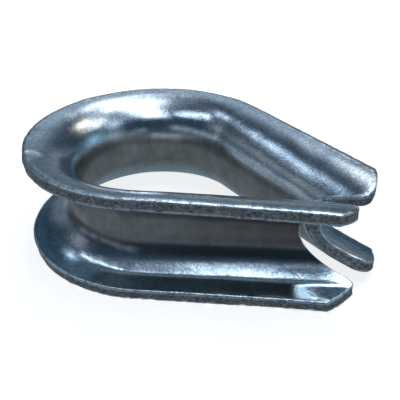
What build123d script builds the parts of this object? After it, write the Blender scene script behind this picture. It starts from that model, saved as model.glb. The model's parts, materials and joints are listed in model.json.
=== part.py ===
from build123d import *

import os
from math import cos, radians, sin

# Heavy wire rope thimble: one formed steel strip, bent into a channel whose open side faces outwards.
# Millimetres. The thimble lies flat: +Z is the axis of the round eye, +X runs from the eye to the point.
# The origin is the centre of the round eye, at mid height. Both legs are tangent to the round crown.

# Driving dimensions
EYE_RADIUS = 27.6  # eye face of the web, round the crown
STRIP_THICKNESS = 4.5
RIM_HEIGHT = 40.1  # from rim to rim at the crown
FLANGE_REACH = 20.5  # from the eye face of the web out to the rim, at the crown
WEB_FLAT = 3.0  # straight stretch in the middle of the web, seen in section
CROWN_SLOPE = 39.5  # degrees from level, straight middle stretch of a flange at the crown
END_SLOPE = 34.0  # the same at the cut end of a leg
LIP_SLOPE = 9.0  # degrees from level, outer lip of a flange
LIP_RADIUS = 8.0  # eye side of the bend between flange and lip
LIP_LENGTH = 5.9
RIM_ROUNDING = 0.9  # worn corners of the rim
LEG_ANGLE = 25.5  # degrees, each leg from the centre line
LEG_LENGTH = 74.5  # from the end of the round crown to the cut end of the strip
REACH_GROWTH = 1.13  # the flanges splay this much wider towards the cut end
HEIGHT_GROWTH = 0.91  # and sit this much lower there
CORNER_CHAMFER = 8.0  # outer corner clipped off each flange end
CORNER_ROUNDING = 2.0  # corners of the clipped flange end
NEAR_GAP = 4.6  # mitred end of the -Y leg to the centre line
FAR_GAP = 2.8  # mitred end of the +Y leg to the centre line

# Derived dimensions
CROWN_ARC = 180 + 2 * LEG_ANGLE
TRIM_MARGIN = 6.0  # how far trimming outlines run past the metal


def bend_and_flange(reach, height, slope):
    """Bend radius and length of the straight flange that bring the rim to a reach and height."""
    turn = radians(90 - slope)
    lip_turn = radians(90 - LIP_SLOPE)
    across = reach - LIP_RADIUS * (cos(turn) - cos(lip_turn)) - LIP_LENGTH * sin(lip_turn)
    rise = (height - WEB_FLAT) / 2 - LIP_RADIUS * (sin(lip_turn) - sin(turn)) - LIP_LENGTH * cos(lip_turn)
    determinant = (1 - cos(turn)) * cos(turn) - sin(turn) ** 2
    bend = (across * cos(turn) - rise * sin(turn)) / determinant
    flange = ((1 - cos(turn)) * rise - sin(turn) * across) / determinant
    return bend, flange


def face_line(depth, bend, flange, slope):
    """One face of the upper half of the section, from mid height out to the rim, at a depth into the strip."""
    start = (EYE_RADIUS + depth, 0)
    web = Line(start, (EYE_RADIUS + depth, WEB_FLAT / 2))
    root = JernArc(web @ 1, web % 1, bend - depth, slope - 90)
    straight = Line(root @ 1, (root @ 1) + (root % 1) * flange)
    lip_bend = JernArc(straight @ 1, straight % 1, LIP_RADIUS - depth, LIP_SLOPE - slope)
    lip = Line(lip_bend @ 1, (lip_bend @ 1) + (lip_bend % 1) * LIP_LENGTH)
    return [web, root, straight, lip_bend, lip]


def strip_section(reach, height, slope):
    """Channel section in the plane (distance from the eye axis, height), open away from the axis."""
    bend, flange = bend_and_flange(reach, height, slope)
    eye_line = face_line(0, bend, flange, slope)
    groove_line = face_line(STRIP_THICKNESS, bend, flange, slope)
    rim_edge = Line(eye_line[-1] @ 1, groove_line[-1] @ 1)
    middle = Line(groove_line[0] @ 0, eye_line[0] @ 0)
    upper = make_face(eye_line + [rim_edge] + groove_line[::-1] + [middle])
    section = upper + mirror(upper, about=Plane.XZ)
    rims = section.vertices().filter_by(lambda v: v.X > EYE_RADIUS + reach - STRIP_THICKNESS / 2)
    return fillet(rims, RIM_ROUNDING)


def leg_frame(side, distance):
    """Plane across a leg: local X points away from the eye axis and local Z points along the leg."""
    out = Vector(sin(radians(LEG_ANGLE)), side * cos(radians(LEG_ANGLE)), 0)
    along = Vector(cos(radians(LEG_ANGLE)), -side * sin(radians(LEG_ANGLE)), 0)
    return Plane(origin=along * distance, x_dir=out, z_dir=along)


def crown():
    """The strip bent round the eye, up to where both legs leave it."""
    section = leg_frame(1, 0) * strip_section(FLANGE_REACH, RIM_HEIGHT, CROWN_SLOPE)
    return revolve(section, Axis.Z, CROWN_ARC)


def leg_outline(gap):
    """Top view of a leg, as (distance along the leg, distance from the eye axis), with its trimmed end."""
    sine = sin(radians(LEG_ANGLE))
    cosine = cos(radians(LEG_ANGLE))
    inner = EYE_RADIUS - TRIM_MARGIN
    rim = EYE_RADIUS + FLANGE_REACH * REACH_GROWTH
    clip_start = (LEG_LENGTH - CORNER_CHAMFER - TRIM_MARGIN, rim + TRIM_MARGIN)
    clip_end = (LEG_LENGTH, rim - CORNER_CHAMFER)
    mitre_end = (LEG_LENGTH, (gap + LEG_LENGTH * sine) / cosine)
    mitre_start = ((inner * cosine - gap) / sine, inner)
    outline = Polyline(
        (0, inner),
        (0, rim + TRIM_MARGIN),
        clip_start,
        clip_end,
        mitre_end,
        mitre_start,
        close=True,
    )
    face = make_face(outline)
    tip = face.vertices().filter_by(lambda v: v.X > LEG_LENGTH - 1)
    return fillet(tip, CORNER_ROUNDING)


def leg(side, gap):
    """One straight leg, on the +Y side for side 1 and on the -Y side for side -1, trimmed at its end."""
    near_eye = leg_frame(side, 0) * strip_section(FLANGE_REACH, RIM_HEIGHT, CROWN_SLOPE)
    at_end = leg_frame(side, LEG_LENGTH) * strip_section(
        FLANGE_REACH * REACH_GROWTH, RIM_HEIGHT * HEIGHT_GROWTH, END_SLOPE
    )
    channel = loft([near_eye, at_end], ruled=True)
    return channel & trim(side, gap)


def trim(side, gap):
    """Upright block over the top view of a leg: what is left of the leg lies inside it."""
    frame = leg_frame(side, 0)
    top_view = Plane(origin=(0, 0, -RIM_HEIGHT), x_dir=frame.z_dir, z_dir=(0, 0, 1))
    outline = leg_outline(gap)
    if side < 0:
        outline = mirror(outline, about=Plane.XZ)
    return extrude(top_view * outline, 2 * RIM_HEIGHT)


thimble = crown() + leg(1, FAR_GAP) + leg(-1, NEAR_GAP)

os.makedirs("parts", exist_ok=True)
thimble.label = "thimble"
export_step(thimble, "parts/thimble.step")
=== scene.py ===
import json
from math import cos, hypot, pi, radians, sin

import bpy
import numpy as np
from mathutils import Matrix, Vector, noise


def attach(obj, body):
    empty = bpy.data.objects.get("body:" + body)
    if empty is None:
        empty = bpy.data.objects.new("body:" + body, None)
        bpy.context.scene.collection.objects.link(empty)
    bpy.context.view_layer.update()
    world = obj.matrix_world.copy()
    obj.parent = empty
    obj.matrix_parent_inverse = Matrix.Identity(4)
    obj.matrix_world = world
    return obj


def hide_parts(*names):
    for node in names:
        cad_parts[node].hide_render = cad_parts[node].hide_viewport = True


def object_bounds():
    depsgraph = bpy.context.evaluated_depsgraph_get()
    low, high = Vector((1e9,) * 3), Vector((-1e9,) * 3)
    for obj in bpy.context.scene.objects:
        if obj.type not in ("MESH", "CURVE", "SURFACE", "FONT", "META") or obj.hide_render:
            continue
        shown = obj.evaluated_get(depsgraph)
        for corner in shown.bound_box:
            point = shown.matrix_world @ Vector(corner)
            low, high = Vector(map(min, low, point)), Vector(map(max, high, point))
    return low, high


# A heavy wire rope thimble lying flat on a pale floor. Metres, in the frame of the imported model:
# the origin is the centre of the round eye, +Z is its axis and +X points from the eye to the point.

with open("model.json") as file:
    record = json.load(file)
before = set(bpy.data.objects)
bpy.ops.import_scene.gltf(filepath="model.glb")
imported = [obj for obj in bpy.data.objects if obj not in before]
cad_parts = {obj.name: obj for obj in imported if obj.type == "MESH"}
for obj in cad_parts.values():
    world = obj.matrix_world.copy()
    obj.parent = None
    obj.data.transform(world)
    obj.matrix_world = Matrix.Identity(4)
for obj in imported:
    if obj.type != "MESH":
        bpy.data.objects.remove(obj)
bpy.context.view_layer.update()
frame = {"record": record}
eye_mount = next(m for m in frame["record"]["mounts"] if m["name"] == "eye")

MM = 0.001
EYE_RADIUS = eye_mount["dims"]["r_mm"] * MM
# Eye side of a flange, from the middle of the web: half the flat web, a bend, a straight stretch, a second
# bend and the lip. Slopes are from level. Most of the thimble is gently rounded. The lower flange of the near
# leg was pressed steeper, with a sharper bend before its lip.
ROUND_FLANGE = {
    "web": 1.5 * MM, "bend": 15.8 * MM, "slope": radians(41), "straight": 1.0 * MM,
    "lip_bend": 23.0 * MM, "lip": 2.6 * MM, "lip_slope": radians(9),
}
STEEP_FLANGE = {
    "web": 0.2 * MM, "bend": 20.0 * MM, "slope": radians(39.5), "straight": 3.0 * MM,
    "lip_bend": 9.0 * MM, "lip": 6.2 * MM, "lip_slope": radians(6.5),
}
STEEP_FROM = radians(-75)  # crown angle where the steeper shape sets in
STRIP_THICKNESS = 4.5 * MM
# Worn corners of the sheared edge: how far they reach over each face and down the sheared face, how much
# further they reach at a leg's end close to the rim, and how much they look like the sheared face
EYE_CORNER = 2.4 * MM
GROOVE_CORNER = 0.9 * MM
CORNER_DROP = 0.65 * MM
CORNER_SLANT = 0.4
CORNER_SLANT_REACH = 2 * MM
CORNER_SHEAR = 0.4
LEG_ANGLE = radians(25.5)  # each leg from the centre line
CROWN_END = pi / 2 + LEG_ANGLE  # angle of the crown on each side of -X, up to the legs
LEG_SPAN = 111 * MM  # stretch over which a leg's slight bow comes and goes
SPLAY_START = 10 * MM  # stretch over which the splay sets in, so that the rim has no kink
BULGE = 0.8 * MM  # extra reach of the lower flange, where the bender spread it
BULGE_ANGLE = radians(-75)
BULGE_SPREAD = radians(40)
BULGE_ALONG_LEG = LEG_SPAN / 4

CROWN_STEPS = 290
LEG_STEPS = 60
END_STEPS = 50
ACROSS_STEPS = 64
SECTION_SAMPLES = 600
ROUND_STEPS = 5
SHEARED_STEPS = 6
LIMIT_STEPS = 6
FIRST_LIMIT = 60 * MM  # where the search for the end of a leg starts
PLAIN_LEG = 40 * MM  # length of leg before its trimmed end begins
WEB_BLEND = 0.2  # share of the half width over which the upper and lower flange blend

# Each leg, -1 on the near side and 1 on the far side. Splay and droop are the shares by which a flange grows
# wider and sits lower per metre of leg. The gaps are from the centre line to the mitred edge of the eye and
# groove faces, at MITRE_START, and turn is how they change along +X. Cap is how far a flange runs along its
# leg, and clip is where the clipped corner starts at the rim, with its slope.
LEG_BOW = {-1: -0.5 * MM, 1: 0.0}
LEG_FLANGES = {
    -1: {
        "upper": {
            "splay": 1.8, "droop": 1.2, "eye_gap": 4.6 * MM, "groove_gap": 5.2 * MM, "turn": 0.0,
            "cap": 71.6 * MM, "clip": 66.8 * MM, "slope": 0.9,
        },
        "lower": {
            "splay": 1.8, "droop": 0.4, "eye_gap": 4.8 * MM, "groove_gap": 5.25 * MM, "turn": 0.0,
            "cap": 75.0 * MM, "clip": 65.8 * MM, "slope": 0.9,
        },
    },
    1: {
        "upper": {
            "splay": 1.8, "droop": 1.2, "eye_gap": 1.2 * MM, "groove_gap": 2.8 * MM, "turn": 0.06,
            "cap": 72.6 * MM, "clip": 66.0 * MM, "slope": 0.8,
        },
        "lower": {
            "splay": 2.3, "droop": 1.6, "eye_gap": -0.8 * MM, "groove_gap": 2.4 * MM, "turn": 0.09,
            "cap": 74.6 * MM, "clip": 69.0 * MM, "slope": 0.9,
        },
    },
}
MITRE_START = 60 * MM  # along +X
TIP_ROUNDING = 1.0 * MM
CLIP_ROUNDING = 1.5 * MM
DENT_PLACE = np.array([-27, -38, 20.5]) * MM  # hammered flat spot on the upper rim
DENT_RADIUS = 6.0 * MM
DENT_DEPTH = 0.45 * MM
# Unevenness of the surface: how deep and how long the lumps are
FORMING = (0.12 * MM, 14 * MM)
TEARING = (0.10 * MM, 3 * MM)
CHIPPING = (0.12 * MM, 2.5 * MM)
PITTING = (0.35 * MM, 1.5 * MM)
PIT_LEVEL = 0.25  # height that the noise must pass to make a pit

# Camera: directions in degrees, as in towards()
CAMERA_AZIMUTH = 31.81
CAMERA_ELEVATION = 30.93
CAMERA_ROLL = -0.74
CAMERA_DISTANCE = 238.7 * MM
CAMERA_AIM = (17.26 * MM, -8.29 * MM)  # right of and above the eye's centre, in the picture plane
CAMERA_LENS = 54.85  # millimetres, for a 36 mm sensor

# Light of the dim room from straight down, 0, over the horizon, 0.5, to straight up, 1
ROOM = [
    (0.00, (0.15, 0.19, 0.22)),
    (0.40, (0.22, 0.28, 0.33)),
    (0.50, (0.12, 0.14, 0.16)),
    (0.57, (0.15, 0.20, 0.25)),
    (0.68, (0.035, 0.06, 0.08)),
    (0.88, (0.025, 0.05, 0.08)),
    (1.00, (0.12, 0.15, 0.20)),
]
COOL = (0.78, 1.00, 1.22)
NEUTRAL = (0.92, 1.00, 1.05)
WARM = (1.05, 1.00, 0.82)
TEAL = (0.50, 1.00, 1.35)
# Round soft lights: azimuth and elevation, spread in degrees, strength and colour
LAMPS = {
    "back_overhead": ((-170, 70), 9, 3.4, COOL),
    "back_top": ((180, 80), 9, 3.2, NEUTRAL),
    "right_top": ((60, 80), 9, 1.6, NEUTRAL),
    "back_right_top": ((120, 80), 9, 1.2, COOL),
    "right_overhead": ((44, 73), 8, 2.6, COOL),
    "front_overhead": ((20, 70), 6, 2.0, COOL),
    "left_high": ((-97, 48), 4.5, 1.9, COOL),
    "left": ((-74, 34), 9, 0.3, NEUTRAL),
    "left_back": ((-145, 37), 14, 0.45, COOL),
    "left_back_high": ((-155, 55), 7, 2.4, NEUTRAL),
    "back": ((165, 48), 6, 2.8, WARM),
    "back_right": ((145, 52), 7, 2.1, NEUTRAL),
    "right": ((110, 52), 10, 0.9, COOL),
    "right_low": ((100, 20), 13, 0.5, COOL),
    "back_right_low": ((135, 20), 14, 0.5, TEAL),
    "left_back_low": ((-154, 3), 8, 0.14, NEUTRAL),
}
# Strip lights, each a row of soft glows: one end, the other, how many glows, then as for the lamps
STRIPS = {
    "high_strip": ((-35, 66), (-70, 55), 3, 3.5, 3.6, COOL),
    "low_strip": ((0, 30), (-66, 15), 5, 6, 0.6, COOL),
    "low_strip_right": ((54, 24), (70, 19), 2, 6, 0.55, COOL),
}
BACKDROP = 1.0  # brightness of the backdrop
FLOOR_HALF = 4.0  # half the width of the floor
FLOOR_COLOUR = (0.50, 0.49, 0.48)
FLOOR_GLOW = 0.80


# ---- Shape -------------------------------------------------------------------------------------------

def half_section(flange):
    """Eye side of the channel from the middle of the web to the rim: length, places and directions."""
    upright = pi / 2
    slope = flange["slope"]
    bend = flange["bend"] * (upright - slope)
    lip_slope = flange["lip_slope"]
    lip_bend = flange["lip_bend"] * (slope - lip_slope)
    stops = np.cumsum([0, flange["web"], bend, flange["straight"], lip_bend, flange["lip"]])
    slopes = [upright, upright, slope, slope, lip_slope, lip_slope]
    length = np.linspace(0, stops[-1], SECTION_SAMPLES)
    turned = np.interp(length, stops, slopes)
    direction = np.stack([np.cos(turned), np.sin(turned)], axis=1)
    steps = (direction[1:] + direction[:-1]) / 2 * (length[1] - length[0])
    place = np.vstack([[0, 0], np.cumsum(steps, axis=0)])
    return stops[-1], place, direction


HALF_WIDTH, ROUND_PLACE, ROUND_DIRECTION = half_section(ROUND_FLANGE)
_, STEEP_PLACE, STEEP_DIRECTION = half_section(STEEP_FLANGE)
SECTION_SHARES = np.linspace(0, 1, SECTION_SAMPLES)


def flange_value(leg, name, distance):
    """A value of a leg's upper or lower flange, blended over the middle of the web."""
    share = np.clip(distance / (WEB_BLEND * HALF_WIDTH), -1, 1) * 0.5 + 0.5
    flanges = LEG_FLANGES[leg]
    return flanges["lower"][name] * (1 - share) + flanges["upper"][name] * share


def along_section(size, steep, round_values, steep_values):
    """Values at a distance from the web's middle, between the round and the steep shape."""
    share = size / HALF_WIDTH
    round_part = np.interp(share, SECTION_SHARES, round_values)
    steep_part = np.interp(share, SECTION_SHARES, steep_values)
    return round_part * (1 - steep) + steep_part * steep


def section_point(distance, leg_length, leg, face, angle):
    """Radius from the eye axis and height at a distance from the web's middle, on the eye or groove face.

    Leg length is how far along the leg the section stands, and angle is its place round the crown.
    """
    size = np.abs(distance)
    side = np.sign(distance)
    splayed = np.sqrt(leg_length**2 + SPLAY_START**2) - SPLAY_START
    wider = 1 + flange_value(leg, "splay", distance) * splayed
    lower = 1 - flange_value(leg, "droop", distance) * splayed
    steep = np.clip((STEEP_FROM - angle) / (STEEP_FROM + CROWN_END), 0, 1)
    steep = np.where(side < 0, steep**2 * (3 - 2 * steep), 0)
    reach = along_section(size, steep, ROUND_PLACE[:, 0], STEEP_PLACE[:, 0]) * wider
    height = along_section(size, steep, ROUND_PLACE[:, 1], STEEP_PLACE[:, 1]) * lower
    off_bulge = ((angle - BULGE_ANGLE) / BULGE_SPREAD) ** 2 + (leg_length / BULGE_ALONG_LEG) ** 2
    bulge = np.where(side < 0, BULGE * np.exp(-off_bulge), 0)
    reach = reach + bulge * (size / HALF_WIDTH) ** 3
    if face == "groove":
        outward = along_section(size, steep, ROUND_DIRECTION[:, 0], STEEP_DIRECTION[:, 0]) * wider
        upward = along_section(size, steep, ROUND_DIRECTION[:, 1], STEEP_DIRECTION[:, 1]) * lower
        length = np.hypot(outward, upward)
        reach = reach + STRIP_THICKNESS * upward / length
        height = height - STRIP_THICKNESS * outward / length
    return EYE_RADIUS + reach, side * height


def smooth_minimum(values, rounding):
    """Smallest of several arrays, with the corners between them rounded."""
    return -rounding * np.log(sum(np.exp(-value / rounding) for value in values))


def leg_limit(distance, leg, face, inset):
    """How far along its leg each line of the strip runs before it is cut off."""
    gap, turn, cap, clip, slope = (
        flange_value(leg, name, distance) for name in (face + "_gap", "turn", "cap", "clip", "slope")
    )
    rim = np.where(distance < 0, -HALF_WIDTH, HALF_WIDTH)
    limit = np.full_like(distance, FIRST_LIMIT)
    for _ in range(LIMIT_STEPS):
        radius, _ = section_point(distance, limit, leg, face, leg * CROWN_END)
        rim_radius, _ = section_point(rim, limit, leg, "eye", leg * CROWN_END)
        from_rim = np.maximum(rim_radius - radius, 0)
        to_mitre = radius * cos(LEG_ANGLE) - gap - turn * (radius * sin(LEG_ANGLE) - MITRE_START)
        mitre = to_mitre / (sin(LEG_ANGLE) + turn * cos(LEG_ANGLE))
        rounded_clip = clip + slope * from_rim - CLIP_ROUNDING * np.exp(-from_rim / CLIP_ROUNDING)
        limit = smooth_minimum([mitre, rounded_clip, cap], TIP_ROUNDING)
    return limit - inset * (1 + CORNER_SLANT * np.exp(-from_rim / CORNER_SLANT_REACH))


def strip_sheet(face, inset):
    """Grid of points over one face of the strip, from the near leg's end round the crown to the far leg's."""
    edge = HALF_WIDTH - inset
    distance = np.linspace(-edge, edge, ACROSS_STEPS + 1)
    crown = np.linspace(-CROWN_END, CROWN_END, CROWN_STEPS + 1)
    rows_near = leg_rows(distance, -1, face, inset)[::-1]
    rows_far = leg_rows(distance, 1, face, inset)
    along = np.vstack([rows_near, np.zeros((CROWN_STEPS + 1, ACROSS_STEPS + 1)), rows_far])
    angle = np.concatenate([np.full(len(rows_near), -CROWN_END), crown, np.full(len(rows_far), CROWN_END)])
    angle = np.broadcast_to(angle[:, None], along.shape)
    lines = np.broadcast_to(distance, along.shape)
    near_radius, near_height = section_point(lines, along, -1, face, angle)
    far_radius, far_height = section_point(lines, along, 1, face, angle)
    leg = np.sign(angle)
    radius = np.where(leg < 0, near_radius, far_radius)
    height = np.where(leg < 0, near_height, far_height)
    bow = np.where(leg < 0, LEG_BOW[-1], LEG_BOW[1])
    radius = radius + bow * np.sin(np.minimum(along / LEG_SPAN, 1) * pi) ** 2
    x = -radius * np.cos(angle) + along * cos(LEG_ANGLE)
    y = radius * np.sin(angle) - along * leg * sin(LEG_ANGLE)
    return np.stack([x, y, height], axis=2)


def leg_rows(distance, leg, face, inset):
    """Distances along a leg of the grid rows beyond the crown, one column for each line of the strip."""
    plain = np.linspace(0, PLAIN_LEG, LEG_STEPS + 1)[1:]
    share = np.linspace(0, 1, END_STEPS + 1)[1:, None]
    limit = leg_limit(distance, leg, face, inset)
    end = PLAIN_LEG + (limit - PLAIN_LEG) * share
    return np.vstack([np.repeat(plain[:, None], len(distance), axis=1), end])


def boundary(grid):
    """The points round the border of a grid, in order and without the start repeated."""
    return np.concatenate([grid[:-1, 0], grid[-1, :-1], grid[:0:-1, -1], grid[0, :0:-1]])


def corner_arc(start, corner, end):
    """Rows of points that round a corner, without the first and last."""
    steps = np.linspace(0, 1, ROUND_STEPS + 1)[1:-1]
    return [(1 - t) ** 2 * start + 2 * (1 - t) * t * corner + t**2 * end for t in steps]


def sheared_rows(eye_grid, groove_grid):
    """Rows of border points from the eye face over the rounded, sheared edge to the groove face.

    With each row comes how much of a worn corner it is, and how much of a sheared face.
    """
    eye_start = boundary(eye_grid)
    groove_start = boundary(groove_grid)
    eye_corner = boundary(strip_sheet("eye", 0))
    groove_corner = boundary(strip_sheet("groove", 0))
    step = groove_corner - eye_corner
    step = step / np.linalg.norm(step, axis=1)[:, None]
    eye_end = eye_corner + step * CORNER_DROP
    groove_end = groove_corner - step * CORNER_DROP
    flat = [eye_end + (groove_end - eye_end) * t for t in np.linspace(0, 1, SHEARED_STEPS + 1)]
    first = corner_arc(eye_start, eye_corner, eye_end)
    last = corner_arc(groove_end, groove_corner, groove_start)
    rows = first + flat + last
    corner = [1.0] * (len(first) + 1) + [0.0] * (len(flat) - 2) + [1.0] * (len(last) + 1)
    sheared = [CORNER_SHEAR] * len(first) + [1.0] * len(flat) + [CORNER_SHEAR] * len(last)
    return rows, corner, sheared


def grid_faces(first, rows, columns, flip):
    """Quads of a grid of points that are numbered row by row from first."""
    faces = []
    for i in range(rows - 1):
        for j in range(columns - 1):
            a = first + i * columns + j
            quad = (a, a + 1, a + columns + 1, a + columns)
            faces.append(quad[::-1] if flip else quad)
    return faces


def strip_mesh():
    """The whole formed strip as one closed mesh, with attributes that tell the material what each part is."""
    eye_grid = strip_sheet("eye", EYE_CORNER)
    groove_grid = strip_sheet("groove", GROOVE_CORNER)
    rows, corner, sheared = sheared_rows(eye_grid, groove_grid)
    lines, columns = eye_grid.shape[:2]
    count = lines * columns
    ring = len(rows[0])
    points = np.vstack([eye_grid.reshape(-1, 3), groove_grid.reshape(-1, 3)] + rows)

    number = np.arange(count).reshape(lines, columns)
    eye_ring = boundary(number)
    edge_rings = [2 * count + k * ring + np.arange(ring) for k in range(len(rows))]
    loops = [eye_ring] + edge_rings + [eye_ring + count]
    faces = grid_faces(0, lines, columns, True) + grid_faces(count, lines, columns, False)
    for upper, lower in zip(loops, loops[1:]):
        for k in range(ring):
            following = (k + 1) % ring
            faces.append((upper[k], lower[k], lower[following], upper[following]))

    mesh = bpy.data.meshes.new("thimble_strip")
    mesh.from_pydata(points.tolist(), [], [tuple(int(v) for v in f) for f in faces])
    mesh.update()

    distance = np.linspace(-1, 1, columns)
    flat_across = np.concatenate([np.tile(np.abs(distance), lines)] * 2)
    ring_across = boundary(np.tile(np.abs(distance), (lines, 1)))
    fields = {
        "sheared": np.concatenate([np.zeros(2 * count)] + [np.full(ring, v) for v in sheared]),
        "corner": np.concatenate([np.zeros(2 * count)] + [np.full(ring, v) for v in corner]),
        "across": np.concatenate([flat_across] + [ring_across] * len(rows)),
        "groove": np.concatenate([np.zeros(count), np.ones(count), np.full(ring * len(rows), 0.5)]),
    }
    for name, values in fields.items():
        layer = mesh.attributes.new(name, "FLOAT", "POINT")
        layer.data.foreach_set("value", values.astype(np.float32))
    return mesh


def fractal(point, scale, octaves, seed):
    """Smooth noise of about -1 to 1 at a point, whose lumps are scale metres across."""
    place = Vector(point) / scale + Vector((seed * 7.3, seed * 3.1, seed * 5.7))
    return noise.fractal(place, 0.9, 2.1, octaves)


def field_values(mesh, name):
    """The values of one of the mesh's attributes, point by point."""
    values = np.zeros(len(mesh.vertices))
    mesh.attributes[name].data.foreach_get("value", values)
    return values


def weather(mesh):
    """Moves the points a little: uneven forming, a dent, torn and pitted sheared faces, chipped corners."""
    count = len(mesh.vertices)
    places = np.zeros(count * 3)
    normals = np.zeros(count * 3)
    mesh.vertices.foreach_get("co", places)
    mesh.vertex_normals.foreach_get("vector", normals)
    places = places.reshape(-1, 3)
    normals = normals.reshape(-1, 3)
    sheared = field_values(mesh, "sheared")
    corner = field_values(mesh, "corner")
    on_eye_side = field_values(mesh, "groove") < 0.7
    rise = np.zeros(count)
    for k in range(count):
        place = places[k]
        rise[k] = FORMING[0] * fractal(place, FORMING[1], 2, 1)
        if on_eye_side[k]:
            off_dent = hypot(*(place - DENT_PLACE)) / DENT_RADIUS
            rise[k] -= DENT_DEPTH * max(0.0, 1 - off_dent**4)
        if sheared[k] > 0.9:
            pits = max(0.0, fractal(place, PITTING[1], 2, 2) - PIT_LEVEL)
            rise[k] += TEARING[0] * fractal(place, TEARING[1], 3, 3) - PITTING[0] * pits
        elif corner[k] > 0:
            rise[k] += CHIPPING[0] * fractal(place, CHIPPING[1], 3, 4)
    places = places + normals * rise[:, None]
    mesh.vertices.foreach_set("co", places.ravel())
    mesh.update()


# ---- Material ----------------------------------------------------------------------------------------

def add(tree, kind, inputs=None, **settings):
    """Adds a shader node, sets its properties and links or fills its inputs."""
    made = tree.nodes.new(kind)
    for name, value in settings.items():
        setattr(made, name, value)
    for name, value in (inputs or {}).items():
        if isinstance(value, bpy.types.NodeSocket):
            tree.links.new(value, made.inputs[name])
        else:
            made.inputs[name].default_value = value
    return made


def ramp(tree, value, stops):
    """Colour ramp through (position, colour) stops."""
    made = add(tree, "ShaderNodeValToRGB", {"Fac": value})
    elements = made.color_ramp.elements
    while len(elements) < len(stops):
        elements.new(0.5)
    for element, (position, colour) in zip(elements, stops):
        element.position = position
        element.color = (*colour, 1)
    return made.outputs["Color"]


def grey(value):
    """Colour without a hue."""
    return (value, value, value)


def noise_value(tree, place, scale_mm, detail=3.0, roughness=0.55, distortion=0.0):
    """Noise of 0 to 1 whose lumps are about scale_mm millimetres across."""
    inputs = {"Vector": place, "Scale": 1000.0 / scale_mm, "Detail": detail}
    inputs.update({"Roughness": roughness, "Distortion": distortion})
    return add(tree, "ShaderNodeTexNoise", inputs).outputs["Fac"]


def mix_colour(tree, share, a, b, blend="MIX"):
    """Colour a turned towards colour b by a share."""
    made = add(tree, "ShaderNodeMix", data_type="RGBA", blend_type=blend)
    for socket, value in zip([made.inputs[0], made.inputs[6], made.inputs[7]], [share, a, b]):
        if isinstance(value, bpy.types.NodeSocket):
            tree.links.new(value, socket)
        else:
            socket.default_value = (*value, 1) if isinstance(value, tuple) else value
    return made.outputs[2]


def calculate(tree, operation, *values):
    """Result of a sum on sockets and numbers."""
    made = add(tree, "ShaderNodeMath", operation=operation)
    for socket, value in zip(made.inputs, values):
        if isinstance(value, bpy.types.NodeSocket):
            tree.links.new(value, socket)
        else:
            socket.default_value = value
    return made.outputs[0]


def attribute(tree, name):
    """A value that the mesh carries point by point."""
    return add(tree, "ShaderNodeAttribute", attribute_name=name).outputs["Fac"]


def bump(tree, height, distance_mm, below=None):
    """Normal of a relief that is distance_mm high where its height is 1, on top of the normal below."""
    inputs = {"Height": height, "Distance": distance_mm * MM, "Strength": 1.0}
    if below is not None:
        inputs["Normal"] = below
    return add(tree, "ShaderNodeBump", inputs).outputs["Normal"]


def stretched(tree, place, factors):
    """Coordinates scaled by axis, for noise drawn out into streaks."""
    return add(tree, "ShaderNodeMapping", {"Vector": place, "Scale": factors}).outputs["Vector"]


def fade(tree, value, start, end):
    """0 below start and 1 above end, smoothly. Start may be above end, which turns it round."""
    made = add(tree, "ShaderNodeMapRange", {"Value": value, "From Min": start, "From Max": end})
    made.interpolation_type = "SMOOTHSTEP"
    return made.outputs["Result"]


def sheet_colour(tree, place, across, grain):
    """Bluish zinc with lighter and darker blotches, some brown stains, and smoky specks towards the rims."""
    blotches = noise_value(tree, place, 11, detail=4, distortion=0.4)
    blues = [(0.32, (0.60, 0.66, 0.73)), (0.5, (0.74, 0.79, 0.84)), (0.68, (0.86, 0.89, 0.92))]
    colour = ramp(tree, blotches, blues)
    stains = fade(tree, noise_value(tree, place, 7, detail=5, roughness=0.65, distortion=0.8), 0.52, 0.70)
    colour = mix_colour(tree, calculate(tree, "MULTIPLY", stains, 0.32), colour, (0.64, 0.57, 0.50))
    specks = fade(tree, noise_value(tree, place, 1.6, detail=4, roughness=0.75), 0.53, 0.68)
    near_rim = calculate(tree, "MULTIPLY_ADD", fade(tree, across, 0.45, 0.85), 0.45, 0.10)
    colour = mix_colour(tree, calculate(tree, "MULTIPLY", specks, near_rim), colour, (0.20, 0.24, 0.29))
    shade = ramp(tree, grain, [(0.36, grey(0.50)), (0.56, grey(1.0))])
    return mix_colour(tree, 0.6, colour, shade, "MULTIPLY")


def web_colour(tree, place):
    """Duller, greyer metal where the rope bears, with faint streaks up and down."""
    streaks = noise_value(tree, stretched(tree, place, (1, 1, 0.3)), 2.5, detail=4, roughness=0.7)
    clouds = noise_value(tree, place, 9)
    colour = ramp(tree, streaks, [(0.3, (0.46, 0.43, 0.395)), (0.7, (0.58, 0.54, 0.495))])
    shade = ramp(tree, clouds, [(0.3, grey(0.55)), (0.7, grey(1.0))])
    return mix_colour(tree, 0.8, colour, shade, "MULTIPLY")


def cut_colour(tree, place):
    """Sheared edge: dark, torn steel with patches of zinc."""
    tears = noise_value(tree, stretched(tree, place, (1, 1, 1.6)), 1.2, detail=5, roughness=0.75)
    patches = noise_value(tree, place, 6, roughness=0.6)
    greys = [(0.34, (0.08, 0.075, 0.075)), (0.46, (0.30, 0.29, 0.29)), (0.66, (0.66, 0.66, 0.67))]
    colour = ramp(tree, tears, greys)
    shade = ramp(tree, patches, [(0.35, grey(0.5)), (0.6, grey(1.0))])
    return mix_colour(tree, 0.6, colour, shade, "MULTIPLY")


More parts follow.
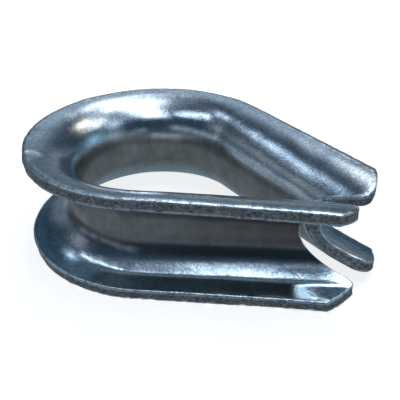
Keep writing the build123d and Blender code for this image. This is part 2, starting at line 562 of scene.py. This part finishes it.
def groove_painted_shade(tree, colour, across, along, web):
    """Painted shade over the groove's bends, which spreads over the web towards the point, and painted bluish
    shade on its lips.
    """
    groove = attribute(tree, "groove")
    # Painted shade: a dark brownish colour over the groove's bends and over its web towards the point, where
    # the flanges shade it
    painted_shade = calculate(tree, "MULTIPLY", fade(tree, across, 0.22, 0.32), fade(tree, across, 0.50, 0.40))
    web_shade = calculate(tree, "MULTIPLY", fade(tree, along, 0.0, 75 * MM), web)
    painted_shade = calculate(tree, "MAXIMUM", painted_shade, web_shade)
    painted_shade = calculate(tree, "MULTIPLY", painted_shade, groove)
    colour = mix_colour(tree, calculate(tree, "MULTIPLY", painted_shade, 0.8), colour, (0.14, 0.10, 0.10))
    # Painted bluish shade on the groove's lips, standing in for the dark flange that they mirror
    lip_painted_shade = calculate(tree, "MULTIPLY", fade(tree, across, 0.72, 0.84), groove)
    return mix_colour(tree, lip_painted_shade, colour, (0.70, 0.86, 0.94), "MULTIPLY")


def zinc_material():
    """Bright zinc on formed steel: mottled, dull on the web, dark where sheared, burnished on worn corners.

    Painted glints: white, matt specks on the corner that the thimble rests on.
    """
    material = bpy.data.materials.new("zinc_coated_steel")
    material.use_nodes = True
    tree = material.node_tree
    tree.nodes.clear()
    place = add(tree, "ShaderNodeTexCoord").outputs["Object"]
    parts = add(tree, "ShaderNodeSeparateXYZ", {"Vector": place}).outputs
    sheared = attribute(tree, "sheared")
    corner = attribute(tree, "corner")
    across = attribute(tree, "across")
    grain = noise_value(tree, place, 0.9, detail=4, roughness=0.7)
    ripples = noise_value(tree, place, 3.2, roughness=0.6, distortion=0.4)

    web = fade(tree, across, 0.40, 0.16)
    wear = fade(tree, noise_value(tree, place, 2.2, detail=4), 0.36, 0.52)
    worn = calculate(tree, "MULTIPLY", corner, wear)
    # Painted glints: white, matt, non-metal specks on the bottom corner, bright under any light
    painted_glints = calculate(tree, "MULTIPLY", corner, fade(tree, parts["Z"], -17.5 * MM, -19 * MM))
    glint_clumps = fade(tree, noise_value(tree, place, 2.5, detail=4), 0.50, 0.58)
    painted_glints = calculate(tree, "MULTIPLY", painted_glints, glint_clumps)

    colour = mix_colour(tree, web, sheet_colour(tree, place, across, grain), web_colour(tree, place))
    colour = groove_painted_shade(tree, colour, across, parts["X"], web)
    colour = mix_colour(tree, sheared, colour, cut_colour(tree, place))
    colour = mix_colour(tree, worn, colour, (0.78, 0.81, 0.84))
    colour = mix_colour(tree, painted_glints, colour, (0.80, 0.82, 0.84))

    rough = mix_colour(tree, web, ramp(tree, ripples, [(0.3, grey(0.11)), (0.7, grey(0.19))]), grey(0.34))
    rough = mix_colour(tree, sheared, rough, ramp(tree, grain, [(0.3, grey(0.32)), (0.7, grey(0.6))]))
    rough = mix_colour(tree, worn, rough, grey(0.2))
    metal = calculate(tree, "SUBTRACT", 1, painted_glints)

    relief = calculate(tree, "MULTIPLY_ADD", web, -0.02, 0.03)
    relief = calculate(tree, "MULTIPLY_ADD", sheared, 0.25, relief)
    normal = bump(tree, ripples, 0.045)
    normal = bump(tree, calculate(tree, "MULTIPLY", grain, relief), 1.0, normal)
    inputs = {"Base Color": colour, "Metallic": metal, "Roughness": rough, "Normal": normal}
    shader = add(tree, "ShaderNodeBsdfPrincipled", inputs)
    add(tree, "ShaderNodeOutputMaterial", {"Surface": shader.outputs["BSDF"]})
    return material


# ---- Stage -------------------------------------------------------------------------------------------

def add_thimble():
    """The formed strip, in place of the CAD's thimble."""
    mesh = strip_mesh()
    weather(mesh)
    mesh.shade_smooth()
    mesh.materials.append(zinc_material())
    thimble = bpy.data.objects.new("thimble_strip", mesh)
    bpy.context.scene.collection.objects.link(thimble)
    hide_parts("thimble")
    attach(thimble, "root")


def floor_material():
    """Matt and pale, with a glow of its own."""
    material = bpy.data.materials.new("pale_floor")
    material.use_nodes = True
    shader = material.node_tree.nodes["Principled BSDF"]
    shader.inputs["Base Color"].default_value = (*FLOOR_COLOUR, 1)
    shader.inputs["Roughness"].default_value = 0.9
    shader.inputs["Emission Color"].default_value = (1, 1, 1, 1)
    shader.inputs["Emission Strength"].default_value = FLOOR_GLOW
    return material


def add_floor():
    """Pale floor under the thimble. It is for the camera: the metal mirrors the darker room instead."""
    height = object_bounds()[0].z
    mesh = bpy.data.meshes.new("floor")
    corners = [(x * FLOOR_HALF, y * FLOOR_HALF, height) for x, y in ((-1, -1), (1, -1), (1, 1), (-1, 1))]
    mesh.from_pydata(corners, [], [(0, 1, 2, 3)])
    mesh.materials.append(floor_material())
    floor = bpy.data.objects.new("floor", mesh)
    floor.visible_glossy = False
    bpy.context.scene.collection.objects.link(floor)


def towards(azimuth, elevation):
    """Direction in degrees, seen from the object: azimuth 0 is along -Y and 90 along +X."""
    a = radians(azimuth)
    e = radians(elevation)
    return Vector((sin(a) * cos(e), -cos(a) * cos(e), sin(e)))


def soft_glows():
    """The lamps, and the glows that make up the strips."""
    glows = list(LAMPS.values())
    for start, end, count, spread, strength, colour in STRIPS.values():
        for azimuth, elevation in np.linspace(start, end, count):
            glows.append(((azimuth, elevation), spread, strength, colour))
    return glows


def add_world():
    """A dim room with soft lights in it, and a pale backdrop that only the camera sees."""
    world = bpy.data.worlds.new("studio")
    world.use_nodes = True
    tree = world.node_tree
    tree.nodes.clear()
    seen = add(tree, "ShaderNodeTexCoord").outputs["Generated"]
    height = add(tree, "ShaderNodeSeparateXYZ", {"Vector": seen}).outputs["Z"]
    light = ramp(tree, calculate(tree, "MULTIPLY_ADD", height, 0.5, 0.5), ROOM)
    for (azimuth, elevation), spread, strength, colour in soft_glows():
        off_centre = add(tree, "ShaderNodeVectorMath", operation="DOT_PRODUCT")
        tree.links.new(seen, off_centre.inputs[0])
        off_centre.inputs[1].default_value = towards(azimuth, elevation)
        falloff = calculate(tree, "SUBTRACT", off_centre.outputs["Value"], 1)
        falloff = calculate(tree, "MULTIPLY", falloff, 1 / (1 - cos(radians(spread))))
        share = calculate(tree, "MULTIPLY", calculate(tree, "EXPONENT", falloff), strength)
        glow = add(tree, "ShaderNodeVectorMath", {"Scale": share}, operation="SCALE")
        glow.inputs[0].default_value = colour
        total = add(tree, "ShaderNodeVectorMath", operation="ADD")
        tree.links.new(light, total.inputs[0])
        tree.links.new(glow.outputs["Vector"], total.inputs[1])
        light = total.outputs["Vector"]
    shown = add(tree, "ShaderNodeLightPath").outputs["Is Camera Ray"]
    light = mix_colour(tree, shown, light, grey(BACKDROP))
    background = add(tree, "ShaderNodeBackground", {"Color": light})
    add(tree, "ShaderNodeOutputWorld", {"Surface": background.outputs["Background"]})
    bpy.context.scene.world = world


def add_camera():
    """Camera above the near leg, rolled slightly and looking past the eye's centre."""
    azimuth = radians(CAMERA_AZIMUTH)
    roll = radians(CAMERA_ROLL)
    back = towards(CAMERA_AZIMUTH, CAMERA_ELEVATION)
    right = Vector((cos(azimuth), sin(azimuth), 0))
    up = back.cross(right)
    rolled_right = cos(roll) * right + sin(roll) * up
    rolled_up = -sin(roll) * right + cos(roll) * up
    stand = back * CAMERA_DISTANCE + right * CAMERA_AIM[0] + up * CAMERA_AIM[1]
    data = bpy.data.cameras.new("camera")
    data.lens = CAMERA_LENS
    data.sensor_width = 36
    data.clip_start = 0.01
    data.clip_end = 50
    camera = bpy.data.objects.new("camera", data)
    axes = Matrix((rolled_right, rolled_up, back)).transposed().to_4x4()
    camera.matrix_world = Matrix.Translation(stand) @ axes
    bpy.context.scene.collection.objects.link(camera)
    bpy.context.scene.camera = camera


add_thimble()
add_floor()
add_world()
add_camera()
bpy.context.scene.view_settings.view_transform = "Standard"
